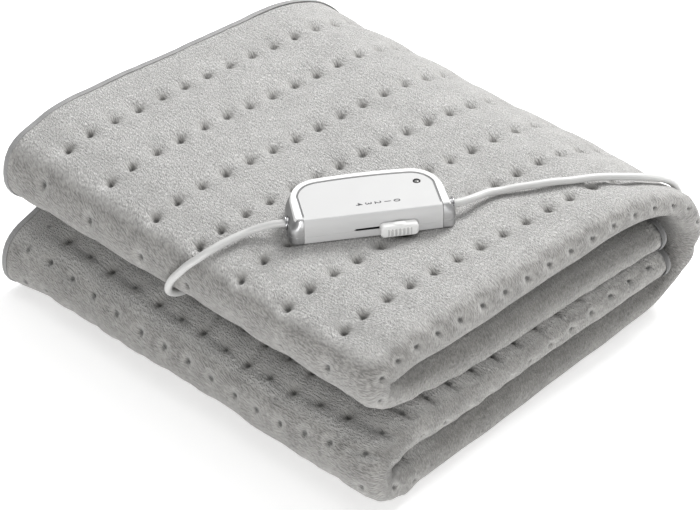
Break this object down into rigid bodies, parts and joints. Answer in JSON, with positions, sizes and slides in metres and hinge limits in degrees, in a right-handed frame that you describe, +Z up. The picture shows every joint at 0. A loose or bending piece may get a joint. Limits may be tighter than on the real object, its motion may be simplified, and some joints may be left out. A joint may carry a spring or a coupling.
{
  "type": "heated mattress pad",
  "caption": "Quilted fleece heated mattress pad, folded into a bundle, with satin binding and a slide controller on its leads; the ribbed slider moves along its slot.",
  "frame": {"origin": "under the middle of the folded bundle, on the surface it rests on", "axes": "+Z up; -Y towards the rolled edge of the doubled pad; +X towards the wide outer fold; the leads are left out of the box"},
  "size_m": [0.4545, 0.4231, 0.1632],
  "materials": {
    "fleece": "short-pile fleece",
    "binding": "smooth woven tape",
    "white_plastic": "satin gloss",
    "panel_plastic": "satin",
    "brushed_metal": "brushed",
    "dark_plastic": "matte",
    "lens": "clear gloss",
    "cord": "satin sheath",
    "pin_metal": "nickel plated"
  },
  "bodies": {
    "bundle": {"pad": "fleece", "binding_long_upper": "binding", "binding_long_lower": "binding", "binding_end_upper": "binding", "binding_end_lower": "binding", "controller_housing": "white_plastic", "face_panel": "panel_plastic", "panel_inlay": "brushed_metal", "end_cap_left": "brushed_metal", "end_cap_right": "brushed_metal", "slot_track": "dark_plastic", "indicator_lens": "lens", "grommet_left": "brushed_metal", "grommet_right": "brushed_metal", "pad_lead": "cord", "lead_entry": "cord", "mains_lead": "cord", "lead_coil": "cord", "coil_tie": "white_plastic", "lead_tail": "cord", "plug_relief": "cord", "plug_body": "white_plastic", "plug_pin_left": "pin_metal", "plug_pin_right": "pin_metal"},
    "slider": {"slider_knob": "white_plastic"}
  },
  "joints": [
    {"name": "slider_slide", "type": "slide", "parent": "bundle", "child": "slider", "axis": [-0.808, 0.5892, 0], "range_m": [0, 0.028]}
  ]
}
